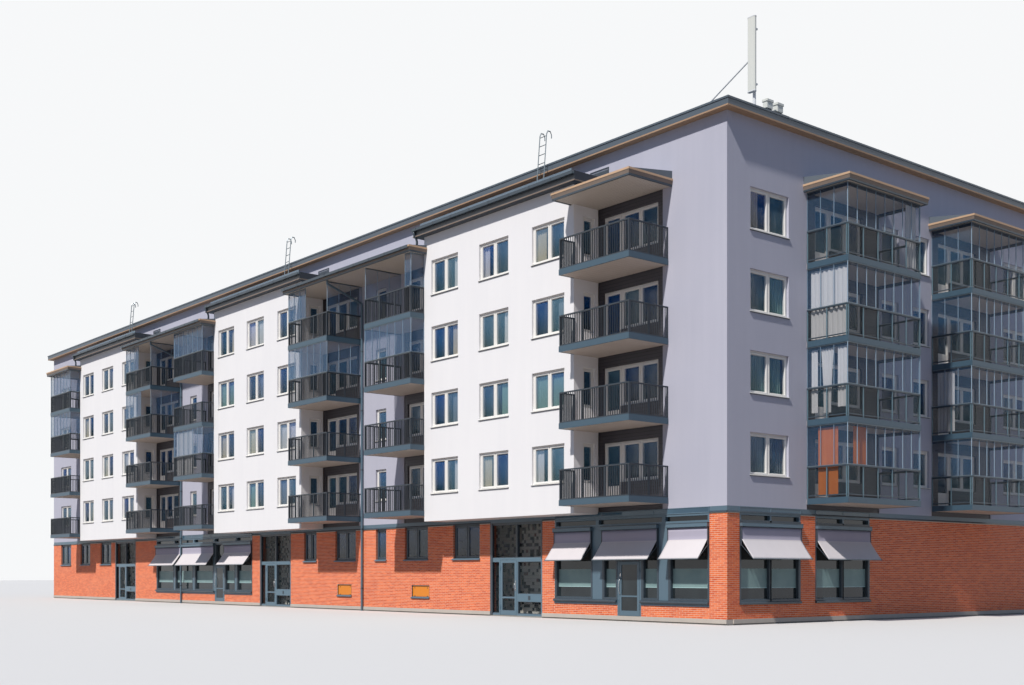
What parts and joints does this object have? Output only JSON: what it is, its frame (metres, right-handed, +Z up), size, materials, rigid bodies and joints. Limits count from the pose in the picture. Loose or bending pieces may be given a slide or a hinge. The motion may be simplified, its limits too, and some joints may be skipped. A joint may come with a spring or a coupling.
{
  "type": "apartment block scale model",
  "caption": "Hollow apartment block at 1:2 scale with rendered walls, white bays, stacked balconies, a brick ground floor with shop fronts, and street doors that open.",
  "frame": {"origin": "middle of the block's plan, on the ground", "axes": "+X along the long street face towards the near corner, +Y away from the street, +Z up"},
  "size_m": [32.745, 11.331, 10.53],
  "materials": {
    "antenna_plastic": "pale grey plastic",
    "awning_cloth": "pale grey awning cloth",
    "blue_steel": "satin blue-grey paint",
    "brick": "orange-red brick with pale joints",
    "concrete": "plain pale concrete",
    "dark_cladding": "charcoal horizontal cladding",
    "dark_steel": "satin dark grey paint",
    "door_steel": "satin grey paint",
    "floor_concrete": "plain concrete floor",
    "galvanised": "galvanised steel",
    "glass": "clear window glass",
    "grey_render": "fine grey rendered wall",
    "orange_panel": "orange paint",
    "roof_sheet": "slate grey sheet metal",
    "soffit_wood": "tan stained boards",
    "white_render": "smooth white rendered wall"
  },
  "bodies": {
    "building": {"antenna_mast": "galvanised", "antenna_panel": "antenna_plastic", "attic_floor": "floor_concrete", "attic_walls": "grey_render", "awning_boxes": "dark_steel", "awning_cloths": "awning_cloth", "back_glass": "glass", "back_wall": "grey_render", "balcony_back_walls": "dark_cladding", "balcony_glazing": "glass", "balcony_slabs": "blue_steel", "bay_fronts": "white_render", "bay_glass": "glass", "bay_roofs": "roof_sheet", "bay_sides": "white_render", "bay_soffits": "concrete", "brick_back": "brick", "brick_ends": "brick", "brick_front": "brick", "canopies": "soffit_wood", "downpipes": "blue_steel", "end_glass": "glass", "end_railings": "glass", "end_walls": "grey_render", "entrance_door_3": "door_steel", "entrance_frames": "door_steel", "entrance_glass": "glass", "floor_2": "floor_concrete", "floor_3": "floor_concrete", "floor_4": "floor_concrete", "floor_5": "floor_concrete", "front_glass": "glass", "front_piers": "grey_render", "ground_slab": "floor_concrete", "gutters": "dark_steel", "lobby_walls": "concrete", "plinths": "concrete", "radio_units": "antenna_plastic", "railing_fronts": "dark_steel", "railing_sides": "dark_steel", "roof": "roof_sheet", "roof_ladders": "galvanised", "roof_soffits": "soffit_wood", "service_hatches": "orange_panel", "shop_frames": "door_steel", "shop_glass": "glass", "shop_sill_walls": "brick", "snow_guards": "dark_steel", "steel_band": "dark_steel"},
    "entrance_door_1": {"entrance_door_1": "door_steel", "entrance_door_1_glass": "glass"},
    "entrance_door_2": {"entrance_door_2": "door_steel", "entrance_door_2_glass": "glass"},
    "shop_door_1": {"shop_door_1": "door_steel", "shop_door_1_glass": "glass"},
    "shop_door_2": {"shop_door_2": "door_steel", "shop_door_2_glass": "glass"}
  },
  "joints": [
    {"name": "entrance_door_1_hinge", "type": "hinge", "parent": "building", "child": "entrance_door_1", "pos_m": [9.59, -5.053, 0.5675], "axis": [0, 0, -1], "range_deg": [0, 90]},
    {"name": "entrance_door_2_hinge", "type": "hinge", "parent": "building", "child": "entrance_door_2", "pos_m": [0.01, -5.053, 0.5675], "axis": [0, 0, -1], "range_deg": [0, 90]},
    {"name": "shop_door_1_hinge", "type": "hinge", "parent": "building", "child": "shop_door_1", "pos_m": [13.445, -5.053, 0.575], "axis": [0, 0, 1], "range_deg": [0, 90]},
    {"name": "shop_door_2_hinge", "type": "hinge", "parent": "building", "child": "shop_door_2", "pos_m": [-2.365, -5.053, 0.575], "axis": [0, 0, 1], "range_deg": [0, 90]}
  ]
}
